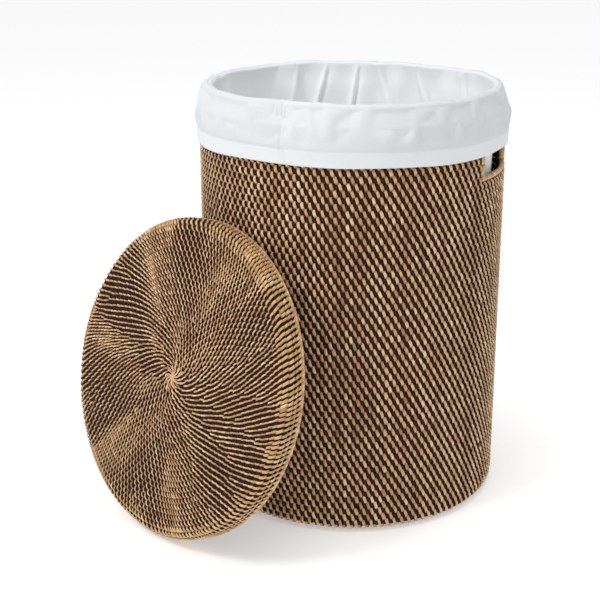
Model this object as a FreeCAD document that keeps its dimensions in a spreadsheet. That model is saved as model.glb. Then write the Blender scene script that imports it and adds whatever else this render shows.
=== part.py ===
"""Round woven laundry basket with a cotton liner and a loose woven lid.

The basket stands on the floor with its base centred on the origin, +Z up and
its two hand holes on +X and -X.  The lid stands on its hem beside the basket
and leans against the wall, and the liner hangs inside the basket with its cuff
turned down over the rim.  All lengths are in millimetres, all angles in degrees.
"""
import FreeCAD, Part
import Sketcher
import math
import os
import re

# Driving sizes: name, value, what it is.
SIZES = [
    ("wall_radius", 210.0, "outside radius of the woven wall"),
    ("basket_height", 571.0, "floor to the top of the rim hoop"),
    ("wall_thick", 8.0, "thickness of the woven wall"),
    ("foot_round", 6.0, "rounding of the wall's lower outer edge"),
    ("base_thick", 6.0, "thickness of the woven base"),
    ("base_slack", 1.0, "how much thinner the base hoop is than the rim hoop"),
    ("neck_height", 26.0, "rim hoop's top above the shoulder"),
    ("neck_thick", 5.0, "thickness of the narrow neck band"),
    ("neck_lap", 12.0, "length of the neck band inside the wall"),
    ("rim_rod", 9.0, "rod of the rim hoop"),
    ("hole_width", 110.0, "clear width of a hand hole along the wall"),
    ("hole_height", 43.0, "clear height of a hand hole"),
    ("hole_drop", 60.0, "rim hoop's top to the top of the clear hole"),
    ("grip_rod", 11.0, "wrapped grip along the top of a hand hole"),
    ("post_rod", 8.0, "wrapped post at each side of a hand hole"),
    ("sill_rod", 7.0, "braid along the bottom of a hand hole"),
    ("lid_overhang", 1.5, "how far the lid's skirt stands out past the wall"),
    ("lid_depth", 32.0, "lid's hem to its top face"),
    ("lid_thick", 8.0, "thickness of the lid's woven top"),
    ("lid_round", 6.5, "rounding of the lid's top edge"),
    ("skirt_thick", 5.5, "thickness of the lid's skirt"),
    ("lid_rod", 7.0, "hoop inside the lid's corner"),
    ("star_radius", 9.0, "radius of the knot in the lid's middle"),
    ("star_thick", 1.5, "height of the knot in the lid's middle"),
    ("lid_lean", 15.6, "lean of the lid from upright"),
    ("lid_bearing", -114.8, "direction that the lid's top faces, from +X"),
    ("lid_shift", -35.0, "sideways shift of the lid along the wall"),
    ("lid_clearance", 0.5, "lid's hem to the wall that it leans on"),
    ("cloth_thick", 1.6, "thickness of the liner's cloth"),
    ("cloth_clearance", 0.5, "liner to the basket"),
    ("cuff_drop", 74.0, "rim hoop's top to the cuff's lower edge"),
    ("cuff_bulge", 4.0, "how far the cuff stands off the shoulder"),
    ("hem_height", 22.0, "height of the cuff's doubled hem"),
    ("hem_thick", 1.0, "extra thickness of the doubled hem"),
    ("seam_width", 8.0, "width of the cuff's side seam"),
    ("seam_thick", 0.8, "thickness of the cuff's side seam"),
    ("seam_bearing", -95.5, "direction of the cuff's side seam, from +X"),
]

# Heights and radii that several pieces share, as formulas on the driving sizes.
INSIDE = "(wall_radius - wall_thick)"
SHOULDER = "(basket_height - neck_height)"
BASE_ROD = "(rim_rod - base_slack)"
WALL_TOP = "(basket_height - neck_height - wall_thick)"
NECK_TOP = "(basket_height - rim_rod)"
RIM_AXIS = "(basket_height - rim_rod / 2)"
RIM_RADIUS = f"({INSIDE} - rim_rod / 2)"
HOLE_TOP = "(basket_height - hole_drop)"
HOLE_BOTTOM = f"({HOLE_TOP} - hole_height)"
MID_WALL = "(wall_radius - wall_thick / 2)"
CUT_ANGLE = f"((hole_width + 2 * post_rod) / {MID_WALL} * 180 / pi)"
POST_ANGLE = f"((hole_width + post_rod) / 2 / {MID_WALL} * 180 / pi)"
BAG_RADIUS = f"({RIM_RADIUS} - rim_rod / 2 - cloth_clearance)"
BAG_FLOOR = "(base_thick + cloth_clearance)"
FOLD_INNER = "(rim_rod / 2 + cloth_clearance)"
CUFF_TOP = f"({RIM_RADIUS} + {FOLD_INNER})"
CUFF_WALL = "(wall_radius + cloth_clearance)"
CUFF_HEM = "(basket_height - cuff_drop)"
HEM_TOP = f"({CUFF_HEM} + hem_height)"
LID_RADIUS = "(wall_radius + lid_overhang)"
HEM_AXIS = f"({LID_RADIUS} - skirt_thick / 2)"

doc = FreeCAD.newDocument("LaundryBasket")
sheet = doc.addObject("Spreadsheet::Sheet", "Sizes")
for row, (alias, value, meaning) in enumerate(SIZES, start=1):
    sheet.set(f"A{row}", meaning)
    sheet.set(f"B{row}", str(value))
    sheet.setAlias(f"B{row}", alias)
doc.recompute()

ALIAS = re.compile(r"\b(" + "|".join(alias for alias, _, _ in SIZES) + r")\b")


def bound(formula):
    """Return a formula on the driving sizes as an expression on the sheet's cells."""
    return ALIAS.sub(r"Sizes.\1", formula)


def pose(x="0", y="0", z="0", turn="0", tip="0"):
    """Return a placement expression: tip about X, then turn about Z, then move."""
    return bound(
        f"create(<<placement>>; create(<<vector>>; {x}; {y}; {z});"
        f" create(<<rotation>>; {turn}; 0; {tip}))"
    )


# The lid stands on the round of its hem and leans its hem's upper edge on the wall.
LID_REACH = (
    f"(wall_radius + lid_clearance + {HEM_AXIS} * sin(lid_lean)"
    " + skirt_thick / 2 * (1 - cos(lid_lean)))"
)
LID_POSE = pose(
    x=f"{LID_REACH} * cos(lid_bearing) - lid_shift * sin(lid_bearing)",
    y=f"{LID_REACH} * sin(lid_bearing) + lid_shift * cos(lid_bearing)",
    z=f"{HEM_AXIS} * cos(lid_lean) + skirt_thick / 2 * (1 - sin(lid_lean))",
    turn="lid_bearing + 90",
    tip="90 - lid_lean",
)

pieces = []


def keep(piece, name):
    """Give a finished sub-part its own label and list it for export."""
    piece.Label = name
    pieces.append(piece)
    return piece


def new_body(name, placement=None):
    """Start a solid body, standing where the placement expression puts it."""
    body = doc.addObject("PartDesign::Body", name)
    if placement:
        body.setExpression("Placement", placement)
    return body


def section(body, name, corners):
    """Draw a closed outline of (radius, height) formulas on the body's XZ plane."""
    plane = [item for item in body.Origin.OriginFeatures if item.Role == "XZ_Plane"][0]
    sketch = body.newObject("Sketcher::SketchObject", name)
    sketch.AttachmentSupport = [(plane, "")]
    sketch.MapMode = "FlatFace"
    count = len(corners)
    start = []
    for index in range(count):
        turn = 2 * math.pi * index / count
        start.append(FreeCAD.Vector(50 + 10 * math.cos(turn), 50 + 10 * math.sin(turn), 0))
    for index in range(count):
        side = Part.LineSegment(start[index], start[(index + 1) % count])
        sketch.addGeometry(side, False)
    for index in range(count):
        sketch.addConstraint(Sketcher.Constraint("Coincident", index, 2, (index + 1) % count, 1))
    for index, (across, up) in enumerate(corners):
        for kind, formula, place in (
            ("DistanceX", across, start[index].x),
            ("DistanceY", up, start[index].y),
        ):
            number = sketch.addConstraint(Sketcher.Constraint(kind, -1, 1, index, 1, place))
            sketch.setExpression(f"Constraints[{number}]", bound(formula))
    return sketch


def rod_section(body, name, across, up, rod):
    """Draw a round rod's section, its centre and diameter given as formulas."""
    plane = [item for item in body.Origin.OriginFeatures if item.Role == "XZ_Plane"][0]
    sketch = body.newObject("Sketcher::SketchObject", name)
    sketch.AttachmentSupport = [(plane, "")]
    sketch.MapMode = "FlatFace"
    centre = FreeCAD.Vector(50, 50, 0)
    sketch.addGeometry(Part.Circle(centre, FreeCAD.Vector(0, 0, 1), 5), False)
    for kind, formula in (("DistanceX", across), ("DistanceY", up)):
        number = sketch.addConstraint(Sketcher.Constraint(kind, -1, 1, 0, 3, 50))
        sketch.setExpression(f"Constraints[{number}]", bound(formula))
    number = sketch.addConstraint(Sketcher.Constraint("Diameter", 0, 10))
    sketch.setExpression(f"Constraints[{number}]", bound(rod))
    return sketch


def revolve(body, sketch, angle=None):
    """Turn a section about the body's Z axis, all round or evenly about the XZ plane."""
    turned = body.newObject("PartDesign::Revolution", body.Name + "Turn")
    turned.Profile = sketch
    turned.ReferenceAxis = (sketch, ["V_Axis"])
    turned.Angle = 360
    if angle:
        turned.Midplane = True
        turned.setExpression("Angle", bound(angle))
    doc.recompute()
    return turned


def turned_piece(name, corners, placement=None, angle=None):
    """Make one sub-part by turning an outline about its axis."""
    body = new_body(name, placement)
    revolve(body, section(body, name + "Section", corners), angle)
    return keep(body, name)


def hoop(name, across, up, rod, placement=None, angle=None):
    """Make one sub-part by bending a round rod into a hoop or an arc of one."""
    body = new_body(name, placement)
    revolve(body, rod_section(body, name + "Section", across, up, rod), angle)
    return keep(body, name)


def band(inner, outer, low, high):
    """Return the four corners of a plain upright band."""
    return [(inner, low), (outer, low), (outer, high), (inner, high)]


def round_edge(body, radius_name, edge_radius, edge_height):
    """Round the circular edge of the body's tip that has this radius and height."""
    base = body.Tip
    for number, edge in enumerate(base.Shape.Edges, start=1):
        curve = edge.Curve
        if not isinstance(curve, Part.Circle):
            continue
        if abs(curve.Radius - edge_radius) < 0.01 and abs(curve.Center.z - edge_height) < 0.01:
            fillet = body.newObject("PartDesign::Fillet", body.Name + "Round")
            fillet.Base = (base, [f"Edge{number}"])
            fillet.setExpression("Radius", bound(radius_name))
            doc.recompute()
            return fillet
    raise RuntimeError(f"{body.Name} has no edge to round")


# ---- Basket: base, wall, neck and rim -------------------------------------------------

turned_piece("woven_base", band("0", INSIDE, "0", "base_thick"))
hoop("base_hoop", f"{INSIDE} - {BASE_ROD} / 2", f"base_thick + {BASE_ROD} / 2", BASE_ROD)


def woven_wall():
    """Make the wall: a tube with a rounded foot and two hand holes through it."""
    wall = turned_piece("wall_weave", band(INSIDE, "wall_radius", "0", WALL_TOP))
    round_edge(wall, "foot_round", sheet.get("wall_radius"), 0.0)
    hole_section = section(
        wall,
        "HoleSection",
        band(
            f"{INSIDE} - wall_thick",
            "wall_radius + wall_thick",
            f"{HOLE_BOTTOM} - sill_rod",
            f"{HOLE_TOP} + grip_rod",
        ),
    )
    hole = wall.newObject("PartDesign::Groove", "HandHole")
    hole.Profile = hole_section
    hole.ReferenceAxis = (hole_section, ["V_Axis"])
    hole.Midplane = True
    hole.setExpression("Angle", bound(CUT_ANGLE))
    doc.recompute()
    axis = [item for item in wall.Origin.OriginFeatures if item.Role == "Z_Axis"][0]
    pair = wall.newObject("PartDesign::PolarPattern", "HandHoles")
    pair.Originals = [hole]
    pair.Axis = (axis, [""])
    pair.Angle = 360
    pair.Occurrences = 2
    wall.Tip = pair
    doc.recompute()


woven_wall()
hoop("wall_border", MID_WALL, f"{WALL_TOP} + wall_thick / 2", "wall_thick")
turned_piece("neck_weave", band(f"{INSIDE} - neck_thick", INSIDE, f"{WALL_TOP} - neck_lap", NECK_TOP))
hoop("rim_hoop", RIM_RADIUS, RIM_AXIS, "rim_rod")


# ---- Basket: the frame round each hand hole ---------------------------------------------

def hand_hole_frame(side, facing):
    """Make the grip, the two posts and the sill of the hole on one side."""
    around = pose(turn=str(facing))
    hoop(
        f"grip_{side}",
        "wall_radius - grip_rod / 2",
        f"{HOLE_TOP} + grip_rod / 2",
        "grip_rod",
        placement=around,
        angle=CUT_ANGLE,
    )
    hoop(
        f"sill_{side}",
        "wall_radius - sill_rod / 2",
        f"{HOLE_BOTTOM} - sill_rod / 2",
        "sill_rod",
        placement=around,
        angle=CUT_ANGLE,
    )
    for end, sign in (("front", -1), ("back", 1)):
        if side == "left":
            bearing = f"({facing} - {sign} * {POST_ANGLE})"
        else:
            bearing = f"({facing} + {sign} * {POST_ANGLE})"
        post = doc.addObject("Part::Cylinder", f"post_{side}_{end}")
        post.setExpression("Radius", bound("post_rod / 2"))
        post.setExpression("Height", bound("hole_height"))
        post.setExpression(
            "Placement",
            pose(
                x=f"{MID_WALL} * cos({bearing})",
                y=f"{MID_WALL} * sin({bearing})",
                z=HOLE_BOTTOM,
            ),
        )
        keep(post, f"post_{side}_{end}")


hand_hole_frame("right", 0)
hand_hole_frame("left", 180)


# ---- Lid: modelled flat on its hem, then stood against the wall -------------------------

def woven_lid():
    """Make the lid's top with its edge rounded over the skirt."""
    top = turned_piece(
        "lid_weave",
        band("0", LID_RADIUS, "lid_depth - lid_thick", "lid_depth"),
    )
    round_edge(
        top,
        "lid_round",
        sheet.get("wall_radius") + sheet.get("lid_overhang"),
        sheet.get("lid_depth"),
    )
    top.setExpression("Placement", LID_POSE)


woven_lid()
turned_piece(
    "lid_skirt",
    band(
        f"{LID_RADIUS} - skirt_thick", LID_RADIUS, "skirt_thick", "lid_depth - lid_thick"
    ),
    placement=LID_POSE,
)
hoop("lid_hem", HEM_AXIS, "skirt_thick / 2", "skirt_thick", placement=LID_POSE)
hoop(
    "lid_hoop",
    f"{LID_RADIUS} - skirt_thick - lid_rod / 2",
    "lid_depth - lid_thick - lid_rod / 2",
    "lid_rod",
    placement=LID_POSE,
)
turned_piece(
    "lid_star",
    band("0", "star_radius", "lid_depth", "lid_depth + star_thick"),
    placement=LID_POSE,
)


# ---- Liner: bag, fold over the rim, cuff, doubled hem and side seam ---------------------

turned_piece("liner_bottom", band("0", BAG_RADIUS, BAG_FLOOR, f"{BAG_FLOOR} + cloth_thick"))
turned_piece(
    "liner_bag",
    band(f"{BAG_RADIUS} - cloth_thick", BAG_RADIUS, f"{BAG_FLOOR} + cloth_thick", RIM_AXIS),
)


def liner_fold():
    """Make the fold: the upper half of a hollow ring round the rim hoop."""
    halves = []
    for name, tube in (("FoldOuter", f"{FOLD_INNER} + cloth_thick"), ("FoldInner", FOLD_INNER)):
        half = doc.addObject("Part::Torus", name)
        half.setExpression("Radius1", bound(RIM_RADIUS))
        half.setExpression("Radius2", bound(tube))
        half.Angle1 = -180
        half.Angle2 = 0
        halves.append(half)
    fold = doc.addObject("Part::Cut", "liner_fold")
    fold.Base, fold.Tool = halves
    fold.setExpression("Placement", pose(z=RIM_AXIS))
    keep(fold, "liner_fold")


liner_fold()
BULGE = f"({CUFF_WALL} + cuff_bulge)"
BULGE_HEIGHT = f"({SHOULDER} - wall_thick / 2)"
turned_piece(
    "liner_cuff",
    [
        (CUFF_TOP, RIM_AXIS),
        (BULGE, BULGE_HEIGHT),
        (CUFF_WALL, HEM_TOP),
        (f"{CUFF_WALL} + cloth_thick", HEM_TOP),
        (f"{BULGE} + cloth_thick", BULGE_HEIGHT),
        (f"{CUFF_TOP} + cloth_thick", RIM_AXIS),
    ],
)
turned_piece(
    "liner_hem",
    band(CUFF_WALL, f"{CUFF_WALL} + cloth_thick + hem_thick", CUFF_HEM, HEM_TOP),
)
turned_piece(
    "liner_seam",
    [
        (f"{CUFF_TOP} + cloth_thick", RIM_AXIS),
        (f"{BULGE} + cloth_thick", BULGE_HEIGHT),
        (f"{CUFF_WALL} + cloth_thick", HEM_TOP),
        (f"{CUFF_WALL} + cloth_thick + seam_thick", HEM_TOP),
        (f"{BULGE} + cloth_thick + seam_thick", BULGE_HEIGHT),
        (f"{CUFF_TOP} + cloth_thick + seam_thick", RIM_AXIS),
    ],
    placement=pose(turn="seam_bearing"),
    angle="seam_width / wall_radius * 180 / pi",
)


# ---- Check and export -------------------------------------------------------------------

doc.recompute()
for item in doc.Objects:
    if "Invalid" in item.State or "Error" in item.State:
        raise RuntimeError(f"{item.Label} failed: {item.State}")
for piece in pieces:
    shape = piece.Shape
    if shape.isNull() or not shape.isValid() or len(shape.Solids) != 1 or shape.Volume <= 0:
        raise RuntimeError(f"{piece.Label} is not one valid solid")

os.makedirs("parts", exist_ok=True)
for piece in pieces:
    piece.Shape.exportStep(os.path.join("parts", piece.Label + ".step"))
    box = piece.Shape.BoundBox
    print(
        f"{piece.Label:18s} {piece.Shape.Volume / 1000:9.1f} cm3  "
        f"x {box.XMin:8.2f} {box.XMax:8.2f}  y {box.YMin:8.2f} {box.YMax:8.2f}  "
        f"z {box.ZMin:8.2f} {box.ZMax:8.2f}"
    )
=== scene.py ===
"""The looks of a round woven laundry basket, its cotton liner and its leaning lid.

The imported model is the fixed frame: every radius, height and place comes from it.
Rattan is built strip by strip and rod by rod, wound rods are tubes with a
wound relief, and the liner is one cloth surface worked out round the rim.
Lengths are in metres.
"""

from __future__ import annotations

import logging
import math
from collections.abc import Callable
from dataclasses import dataclass
from enum import Enum

import bpy
import numpy as np
from bpy.types import ID, Material, Mesh, Node, NodeSocket, NodeTree, Object
from mathutils import Matrix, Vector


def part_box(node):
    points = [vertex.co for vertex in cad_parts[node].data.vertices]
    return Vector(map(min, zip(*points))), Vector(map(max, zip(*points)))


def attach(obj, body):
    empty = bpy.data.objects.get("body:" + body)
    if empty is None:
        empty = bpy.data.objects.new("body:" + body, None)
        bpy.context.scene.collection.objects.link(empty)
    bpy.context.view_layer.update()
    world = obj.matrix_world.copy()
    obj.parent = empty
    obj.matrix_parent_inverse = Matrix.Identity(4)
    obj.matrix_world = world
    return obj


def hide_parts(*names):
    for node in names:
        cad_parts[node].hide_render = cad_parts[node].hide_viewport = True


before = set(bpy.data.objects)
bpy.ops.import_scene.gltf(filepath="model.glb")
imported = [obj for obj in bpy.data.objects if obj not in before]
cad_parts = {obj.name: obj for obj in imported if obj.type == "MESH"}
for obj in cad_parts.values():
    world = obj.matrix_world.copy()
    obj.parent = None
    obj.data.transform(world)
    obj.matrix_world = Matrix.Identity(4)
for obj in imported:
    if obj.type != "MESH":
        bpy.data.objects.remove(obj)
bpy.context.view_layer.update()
log = logging.getLogger("laundry_basket")

Colour = tuple[float, float, float]
Array = np.ndarray
Values = Array | float
TURN = 2 * math.pi
SAME_PLACE = 1e-6
WHITE = (1.0, 1.0, 1.0, 1.0)


class Body(Enum):
    """The three bodies that pieces ride on."""

    BASKET = "basket"
    LID = "lid"
    LINER = "liner"


class Slot(Enum):
    """The record's material slots."""

    WEAVE = "rattan_weave"
    ROD = "rattan_rod"
    BINDING = "rattan_binding"
    COTTON = "cotton_liner"


# ---- Shader maths ----


def _operator(operation: str, swapped: bool = False) -> Callable[..., Term]:
    """One arithmetic operator of Term, with its sides swapped if asked."""

    def apply(term: Term, other: Term | float) -> Term:
        return term.join(operation, other, term) if swapped else term.join(operation, term, other)

    return apply


class Term:
    """A shader value that adds Math nodes as it is used in an expression."""

    def __init__(self, tree: NodeTree, socket: NodeSocket) -> None:
        """Wrap one output socket of a node tree."""
        self.tree = tree
        self.socket = socket

    def join(self, operation: str, first: Term | float, second: Term | float) -> Term:
        """Add one Math node.

        Args:
            operation: The Math node's operation.
            first: The value on its left.
            second: The value on its right.

        Returns:
            The node's result.
        """
        node = self.tree.nodes.new("ShaderNodeMath")
        node.operation = operation
        for place, value in zip(node.inputs, (first, second)):
            if isinstance(value, Term):
                self.tree.links.new(value.socket, place)
            else:
                place.default_value = value
        return Term(self.tree, node.outputs[0])

    __add__ = _operator("ADD")
    __radd__ = _operator("ADD", swapped=True)
    __sub__ = _operator("SUBTRACT")
    __rsub__ = _operator("SUBTRACT", swapped=True)
    __mul__ = _operator("MULTIPLY")
    __rmul__ = _operator("MULTIPLY", swapped=True)

    def sine(self) -> Term:
        """Sine of the value."""
        return self.join("SINE", self, 0.0)


class Recipe:
    """One material's node tree and the calls that grow it."""

    def __init__(self, name: str) -> None:
        """Start a material with a Principled shader and nothing else."""
        self.material = bpy.data.materials.new(name)
        self.material.use_nodes = True
        self.tree = self.material.node_tree
        self.tree.nodes.clear()
        self.shader = self.tree.nodes.new("ShaderNodeBsdfPrincipled")
        output = self.tree.nodes.new("ShaderNodeOutputMaterial")
        self.tree.links.new(self.shader.outputs[0], output.inputs[0])

    def node(self, kind: str, settings: dict | None = None, **sockets: object) -> Node:
        """Add a node.

        Args:
            kind: The node's type.
            settings: Properties set before anything is linked.
            **sockets: Values, Terms or sockets by input name, an underscore for a space.

        Returns:
            The node.
        """
        node = self.tree.nodes.new(kind)
        for key, value in (settings or {}).items():
            setattr(node, key, value)
        for key, value in sockets.items():
            self.feed(node.inputs[key.replace("_", " ")], value)
        return node

    def feed(self, place: NodeSocket, value: object) -> None:
        """Give an input a value, a Term or another node's socket."""
        if isinstance(value, Term):
            value = value.socket
        if isinstance(value, NodeSocket):
            self.tree.links.new(value, place)
        elif isinstance(value, tuple) and len(value) == 3 and place.type == "RGBA":
            place.default_value = (*value, 1.0)
        else:
            place.default_value = value

    def finish(self, **inputs: object) -> None:
        """Give the Principled shader its inputs by name, an underscore for a space."""
        for key, value in inputs.items():
            self.feed(self.shader.inputs[key.replace("_", " ")], value)

    def attribute(self, name: str) -> Term:
        """Read a number stored on the mesh."""
        node = self.node("ShaderNodeAttribute", {"attribute_name": name})
        return Term(self.tree, node.outputs["Fac"])

    def noise(self, vector: object, scale: float, detail: float) -> Term:
        """Fractal noise, 0 to 1, at a vector."""
        node = self.node("ShaderNodeTexNoise", None, Vector=vector, Scale=scale, Detail=detail)
        return Term(self.tree, node.outputs["Fac"])

    def grain(self, across: object, along: object, third: object, detail: float) -> Term:
        """Fractal noise at three values."""
        place = self.node("ShaderNodeCombineXYZ", None, X=across, Y=along, Z=third)
        return self.noise(place.outputs[0], 1.0, detail)

    def blend(self, share: object, first: object, second: object) -> NodeSocket:
        """Mix two colours by a share from 0 to 1."""
        node = self.node("ShaderNodeMix", {"data_type": "RGBA", "clamp_factor": True})
        for place, value in ((0, share), (6, first), (7, second)):
            self.feed(node.inputs[place], value)
        return node.outputs[2]

    def ramp(self, value: Term, stops: list[tuple[float, Colour]]) -> NodeSocket:
        """Turn a value into a colour through a list of stops."""
        node = self.tree.nodes.new("ShaderNodeValToRGB")
        elements = node.color_ramp.elements
        while len(elements) < len(stops):
            elements.new(0.5)
        for element, (place, colour) in zip(elements, stops):
            element.position = place
            element.color = (*colour, 1.0)
        self.tree.links.new(value.socket, node.inputs[0])
        return node.outputs[0]

    def relief(self, height: Term, distance: float, strength: float) -> None:
        """Bump the shader's normal by a height."""
        bump = self.node(
            "ShaderNodeBump", None, Height=height, Distance=distance, Strength=strength
        )
        self.finish(Normal=bump.outputs[0])


# ---- Finishes ----


def tone(red: int, green: int, blue: int) -> Colour:
    """A colour from 0 to 255 display values, as linear light."""
    return tuple((value / 255) ** 2.2 for value in (red, green, blue))


@dataclass(frozen=True)
class RattanStrip:
    """Split rattan peel: fibres along the strip, each strip of its own tone."""

    name: str = "rattan_strip"
    deep: Colour = tone(128, 89, 58)
    warm: Colour = tone(184, 140, 99)
    pale: Colour = tone(232, 198, 156)
    olive: Colour = tone(196, 158, 92)
    stain: Colour = tone(84, 54, 42)
    # Painted shade: near black brown laid where a strip dives under the rods.
    painted_shade: Colour = tone(40, 25, 18)
    roughness: float = 0.42

    def material(self) -> Material:
        """Build the material from the attributes strip, run, across, painted light and gold, with
        painted shade where strips dive under the rods.
        """
        recipe = Recipe(self.name)
        strip, run, across = (recipe.attribute(name) for name in ("strip", "run", "across"))
        patch = recipe.grain(strip * 61.0, run * 22.0, strip * 17.0, 2.0)
        fibre = recipe.grain(across * 5.0, run * 60.0, strip * 91.0, 3.0)
        shade = (patch - 0.5) * 1.1 + (fibre - 0.5) * 0.5 + strip * 0.2 + 0.42
        base = recipe.ramp(shade, [(0.12, self.deep), (0.45, self.warm), (0.82, self.pale)])
        green = recipe.grain(strip * 23.0, run * 9.0, 4.0, 1.0)
        ripe = recipe.attribute("gold") * 0.3
        tinted = recipe.blend((green - 0.55) * 2.4 + ripe, base, self.olive)
        blot = recipe.grain(strip * 7.0, run * 14.0, 9.0, 2.0)
        stained = recipe.blend((blot - 0.64) * 6.0, tinted, self.stain)
        # Painted shade where the strip dives under a rod, none where it is painted as lit.
        sunk = (1.0 - recipe.attribute("painted_light")) * 1.35 - 0.32
        with_painted_shade = recipe.blend(sunk, stained, self.painted_shade)
        recipe.finish(Base_Color=with_painted_shade, Roughness=self.roughness + (fibre - 0.5) * 0.3)
        recipe.relief(fibre, 0.0004, 0.6)
        return recipe.material


@dataclass(frozen=True)
class RattanRod:
    """Round rattan core, darker than the peel and darkened further as painted shade for the gaps
    between stitches, with short fibre streaks.
    """

    name: str = "rattan_core"
    # Near black browns: the core's own darker tone plus painted shade for the gaps between
    # stitches.
    dark: Colour = tone(30, 18, 12)
    light: Colour = tone(66, 43, 28)
    roughness: float = 0.75
    gloss: float = 0.15

    def material(self) -> Material:
        """Build the material from the attributes strip, run and across."""
        recipe = Recipe(self.name)
        strip, run, across = (recipe.attribute(name) for name in ("strip", "run", "across"))
        streak = recipe.grain(across * 4.0, run * 45.0, strip * 53.0, 3.0)
        share = (streak - 0.5) * 1.2 + strip * 0.3 + 0.3
        recipe.finish(
            Specular_IOR_Level=self.gloss,
            Base_Color=recipe.blend(share, self.dark, self.light),
            Roughness=self.roughness + (streak - 0.5) * 0.25,
        )
        recipe.relief(streak, 0.0005, 0.5)
        return recipe.material


@dataclass(frozen=True)
class Cotton:
    """White plain-woven cotton with a fine thread relief."""

    name: str = "cotton_cloth"
    # Painted light through the cloth: single is darkened by the dark wall behind it, doubled is
    # brighter, backlit is painted backlight.
    single: Colour = tone(206, 209, 212)
    shade: Colour = tone(200, 205, 209)
    doubled: Colour = tone(219, 222, 225)
    backlit: Colour = tone(244, 245, 246)
    thread: float = 0.0009
    roughness: float = 0.9
    sheen: float = 0.15

    def material(self) -> Material:
        """Build the material from the cloth's UV map, in metres, and its fullness, which sets the
        painted light seen through the cloth.
        """
        recipe = Recipe(self.name)
        place = recipe.node("ShaderNodeUVMap", {"uv_map": "UVMap"}).outputs[0]
        split = recipe.node("ShaderNodeSeparateXYZ", None, Vector=place)
        across, along = (Term(recipe.tree, split.outputs[k]) * (TURN / self.thread) for k in (0, 1))
        threads = across.sine() * along.sine()
        slub = recipe.noise(place, 55.0, 4.0)
        cloud = recipe.noise(place, 6.0, 3.0)
        body = recipe.attribute("fullness")
        single = recipe.blend((cloud - 0.4) * 1.6, self.single, self.shade)
        # Painted see-through shade and light: darker single cloth on the wall, brighter doubled
        # cloth, painted backlight where it hangs free.
        cloth = recipe.blend(body * 2.0, single, self.doubled)
        bag = recipe.blend(body * 2.0 - 1.0, cloth, self.backlit)
        recipe.finish(Base_Color=bag, Roughness=self.roughness, Sheen_Weight=self.sheen)
        recipe.relief(threads * 0.4 + slub * 1.6, 0.0005, 0.5)
        return recipe.material


@dataclass(frozen=True)
class Studio:
    """The pale floor's finish."""

    name: str = "studio_floor"
    grey: Colour = (0.9, 0.9, 0.9)
    roughness: float = 0.9
    glow: float = 0.32

    def material(self) -> Material:
        """Build a plain matt floor."""
        recipe = Recipe(self.name)
        recipe.finish(
            Base_Color=self.grey,
            Roughness=self.roughness,
            Emission_Color=WHITE,
            Emission_Strength=self.glow,
        )
        return recipe.material


# ---- Surfaces ----


def unit(vectors: Array) -> Array:
    """Scale vectors in the last axis to length 1."""
    length = np.linalg.norm(vectors, axis=-1, keepdims=True)
    return vectors / np.maximum(length, 1e-12)


def travelled(points: Array) -> Array:
    """Distance along a line of points, 0 at the first."""
    return np.concatenate([[0], np.cumsum(np.linalg.norm(np.diff(points, axis=0), axis=1))])


def read_off(at: Array, place: Array, points: Array) -> Array:
    """Points at distances along a line whose points lie at the distances in place."""
    return np.stack([np.interp(at, place, points[:, axis]) for axis in range(3)], -1)


def smooth_step(share: Array) -> Array:
    """An even start and stop between 0 and 1: s^2 (3 - 2 s)."""
    return share * share * (3 - 2 * share)


def wrap(angle: Array) -> Array:
    """Angles brought between minus and plus half a turn."""
    return (angle + math.pi) % TURN - math.pi


@dataclass
class Contour:
    """A profile of (radius, height) corners, rounded, measured along its length."""

    corners: list[tuple[float, float]]
    rounding: float
    facing: float = 1.0
    step: float = 0.00025

    def __post_init__(self) -> None:
        """Lay points along the two straight runs and the arc between them.

        An arc of radius q at a corner that turns by 2a starts q tan a before it.
        """
        start, corner, end = (np.array(place) for place in self.corners)
        way_in, way_out = unit(corner - start), unit(end - corner)
        half = math.acos(float(np.clip(way_in @ way_out, -1, 1))) / 2
        bisector = unit(way_out - way_in)
        centre = corner + bisector * self.rounding / math.cos(half)
        share = np.linspace(-half, half, max(2, int(2 * half * self.rounding / self.step)))[:, None]
        side = unit(way_in + way_out)
        arc = centre + self.rounding * (np.sin(share) * side - np.cos(share) * bisector)
        arc[0] = corner - way_in * self.rounding * math.tan(half)
        points = np.array([start, *arc, end])
        place = travelled(points)
        self.length = float(place[-1])
        self.places = np.linspace(0, self.length, max(8, int(self.length / self.step)))
        self.radius = np.interp(self.places, place, points[:, 0])
        self.height = np.interp(self.places, place, points[:, 1])

    def at(self, place: Array) -> tuple[Array, Array, Array, Array]:
        """Radius, height and outward normal (radial, upward) at distances along the profile."""
        slope_r = np.gradient(self.radius, self.places)
        slope_z = np.gradient(self.height, self.places)
        size = np.hypot(slope_r, slope_z)
        return (
            np.interp(place, self.places, self.radius),
            np.interp(place, self.places, self.height),
            self.facing * np.interp(place, self.places, slope_z / size),
            self.facing * np.interp(place, self.places, -slope_r / size),
        )


def round_section(sides: int) -> Array:
    """Corners of a regular section of unit radius."""
    turn = TURN * np.arange(sides) / sides
    return np.stack([np.cos(turn), np.sin(turn)], -1)


PEEL_SECTION = np.array([(-1, -0.55), (1, -0.55), (0.86, 0.4), (0, 1.0), (-0.86, 0.4)])
PAIR_TOP = [(1.0, 0.0), (0.86, 0.72), (0.5, 1.0), (0.16, 0.76)]
PAIR_SECTION = np.array(
    PAIR_TOP + [(-across, up) for across, up in PAIR_TOP[::-1]] + [(-0.5, -0.3), (0.5, -0.3)]
)


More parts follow.
